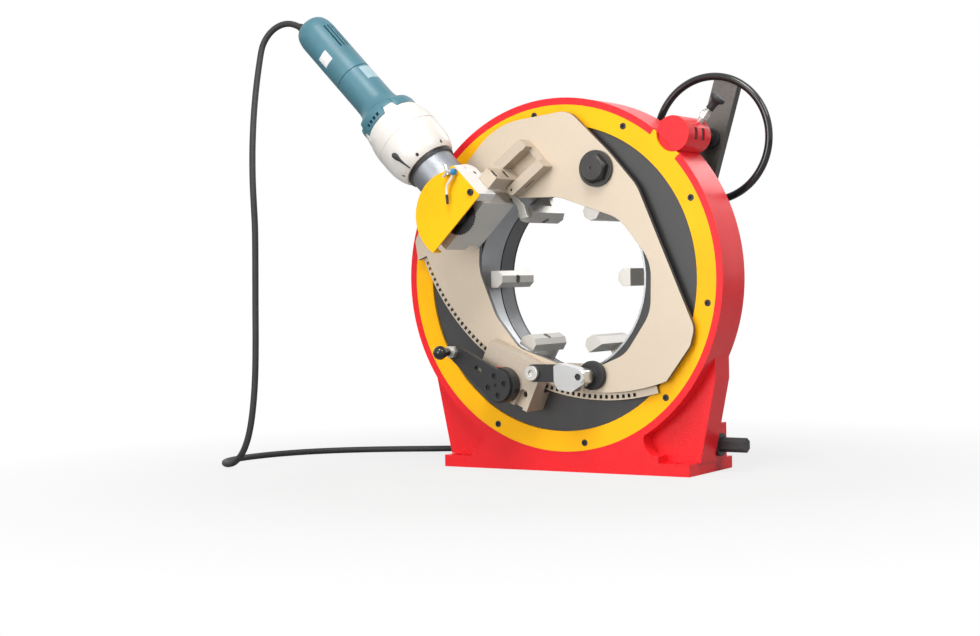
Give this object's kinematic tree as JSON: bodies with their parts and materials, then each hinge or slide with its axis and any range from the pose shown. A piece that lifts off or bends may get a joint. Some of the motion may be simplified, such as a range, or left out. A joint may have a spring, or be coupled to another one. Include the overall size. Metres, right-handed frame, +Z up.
{
  "type": "orbital pipe cutting machine",
  "caption": "Floor-standing orbital pipe cutter: a ring casing on a foot, a geared rotor carrying a swinging motor-driven saw head, and a ring of chuck jaws round a central bore.",
  "frame": {"origin": "on the floor under the ring axis, at the front face of the ring casing", "axes": "+Z up, +X to the right seen from the front, +Y from the front face towards the chuck; the ring axis runs along Y at z 290 mm"},
  "size_m": [0.8709, 0.4568, 0.7085],
  "materials": {
    "red_paint": "semi-gloss enamel",
    "yellow_paint": "semi-gloss enamel",
    "black_steel": "blackened, satin",
    "bright_steel": "bright turned steel",
    "plate_steel": "bare milled steel",
    "bronze": "turned bronze",
    "grey_casting": "dull machined casting",
    "pale_alloy": "clear satin",
    "teal_shell": "fine moulded texture",
    "black_plastic": "gloss",
    "black_rubber": "matt",
    "clear_tube": "milky",
    "blade_steel": "dark hardened steel"
  },
  "bodies": {
    "frame": {"frame_casting": "red_paint", "worm_housing": "red_paint", "retaining_ring": "yellow_paint", "ring_screws": "black_steel", "rotor_bush": "bronze", "chuck_body": "bright_steel", "rear_cover": "black_steel", "shaft_bush": "black_steel", "pinion_bearing": "bronze", "plunger_body": "bright_steel", "cord_lead": "black_rubber", "cord_coil": "black_rubber", "plug": "black_rubber"},
    "handwheel": {"pinion_shaft": "bright_steel", "drive_pinion": "bright_steel", "handwheel_rim": "black_steel", "handwheel_spoke": "black_steel"},
    "plunger": {"plunger_pin": "bright_steel", "plunger_knob": "black_plastic"},
    "rotor": {"rotor_disc": "black_steel", "rotor_sleeve": "bright_steel", "feed_bracket": "plate_steel", "pivot_stud": "bright_steel", "pivot_nut": "black_steel", "lock_screw": "bright_steel"},
    "head": {"swing_plate": "plate_steel", "pivot_bush": "bronze", "feed_sector": "plate_steel", "head_fork": "plate_steel", "key_block": "plate_steel", "chip_tab": "bright_steel", "gearbox_housing": "grey_casting", "guard_plate": "yellow_paint", "guard_wall": "pale_alloy", "motor_sleeve": "pale_alloy", "bell_housing": "pale_alloy", "motor_barrel": "teal_shell", "motor_rear_cap": "teal_shell", "strain_relief": "black_rubber", "coolant_valve": "bright_steel", "coolant_tube": "clear_tube"},
    "saw": {"arbor": "bright_steel", "blade": "blade_steel"},
    "motor_shaft": {"drive_shaft": "bright_steel"},
    "crank": {"feed_crank": "black_steel", "feed_pinion": "bright_steel", "knob_spindle": "bright_steel"},
    "crank_grip": {"crank_knob": "black_plastic"},
    "lock_arm": {"lock_bar": "black_steel", "lock_block": "pale_alloy"},
    "lock_foot": {"lock_pad": "black_plastic"},
    "cam": {"cam_ring": "bright_steel"},
    "clamp_screw": {"clamp_shaft": "black_steel", "worm": "bright_steel"},
    "jaw_body_1": {"jaw_1": "bright_steel"},
    "jaw_body_2": {"jaw_2": "bright_steel"},
    "jaw_body_3": {"jaw_3": "bright_steel"},
    "jaw_body_4": {"jaw_4": "bright_steel"},
    "jaw_body_5": {"jaw_5": "bright_steel"},
    "jaw_body_6": {"jaw_6": "bright_steel"}
  },
  "joints": [
    {"name": "orbit", "type": "hinge", "parent": "frame", "child": "rotor", "pos_m": [0, 0, 0.29], "axis": [0, -1, 0], "continuous": true},
    {"name": "handwheel_turn", "type": "hinge", "parent": "frame", "child": "handwheel", "pos_m": [0.19407, 0, 0.49666], "axis": [0, -1, 0], "continuous": true},
    {"name": "plunger_slide", "type": "slide", "parent": "frame", "child": "plunger", "axis": [0.6845, 0, 0.729], "range_m": [-0.003, 0]},
    {"name": "swing", "type": "hinge", "parent": "rotor", "child": "head", "pos_m": [0.0765, 0, 0.4504], "axis": [0, -1, 0], "range_deg": [-5, 10]},
    {"name": "crank_turn", "type": "hinge", "parent": "rotor", "child": "crank", "pos_m": [-0.07101, 0, 0.1319], "axis": [0, -1, 0], "range_deg": [-226, 114]},
    {"name": "crank_knob_spin", "type": "hinge", "parent": "crank", "child": "crank_grip", "pos_m": [-0.14706, -0.08, 0.18186], "axis": [0, -1, 0], "continuous": true},
    {"name": "lock_swing", "type": "hinge", "parent": "rotor", "child": "lock_arm", "pos_m": [-0.016, 0, 0.1505], "axis": [0, -1, 0], "range_deg": [-60, 0]},
    {"name": "lock_press", "type": "slide", "parent": "lock_arm", "child": "lock_foot", "axis": [0, -1, 0], "range_m": [0, 0.004]},
    {"name": "blade_spin", "type": "hinge", "parent": "head", "child": "saw", "pos_m": [-0.1045, 0, 0.3857], "axis": [0, -1, 0], "continuous": true},
    {"name": "motor_spin", "type": "hinge", "parent": "head", "child": "motor_shaft", "pos_m": [-0.1045, -0.071, 0.3857], "axis": [-0.7009, 0, 0.7133], "continuous": true},
    {"name": "cam_turn", "type": "hinge", "parent": "frame", "child": "cam", "pos_m": [0, 0, 0.29], "axis": [0, -1, 0], "range_deg": [-65.4, 16.3]},
    {"name": "clamp_turn", "type": "hinge", "parent": "frame", "child": "clamp_screw", "pos_m": [0, 0.088, 0.04], "axis": [1, 0, 0], "range_deg": [-3090, 12330]},
    {"name": "jaw_1_slide", "type": "slide", "parent": "frame", "child": "jaw_body_1", "axis": [1, 0, 0], "range_m": [-0.04, 0.01]},
    {"name": "jaw_2_slide", "type": "slide", "parent": "frame", "child": "jaw_body_2", "axis": [0.5, 0, 0.866], "range_m": [-0.04, 0.01]},
    {"name": "jaw_3_slide", "type": "slide", "parent": "frame", "child": "jaw_body_3", "axis": [-0.5, 0, 0.866], "range_m": [-0.04, 0.01]},
    {"name": "jaw_4_slide", "type": "slide", "parent": "frame", "child": "jaw_body_4", "axis": [-1, 0, 0], "range_m": [-0.04, 0.01]},
    {"name": "jaw_5_slide", "type": "slide", "parent": "frame", "child": "jaw_body_5", "axis": [-0.5, 0, -0.866], "range_m": [-0.04, 0.01]},
    {"name": "jaw_6_slide", "type": "slide", "parent": "frame", "child": "jaw_body_6", "axis": [0.5, 0, -0.866], "range_m": [-0.04, 0.01]}
  ],
  "couplings": [
    {"joint": "handwheel_turn", "follows": "orbit", "ratio": -13.538},
    {"joint": "crank_turn", "follows": "swing", "ratio": -22.4},
    {"joint": "motor_spin", "follows": "blade_spin", "ratio": -1.5},
    {"joint": "clamp_turn", "follows": "cam_turn", "ratio": -188},
    {"joint": "jaw_1_slide", "follows": "cam_turn", "m_per_rad": 0.035},
    {"joint": "jaw_2_slide", "follows": "cam_turn", "m_per_rad": 0.035},
    {"joint": "jaw_3_slide", "follows": "cam_turn", "m_per_rad": 0.035},
    {"joint": "jaw_4_slide", "follows": "cam_turn", "m_per_rad": 0.035},
    {"joint": "jaw_5_slide", "follows": "cam_turn", "m_per_rad": 0.035},
    {"joint": "jaw_6_slide", "follows": "cam_turn", "m_per_rad": 0.035}
  ]
}
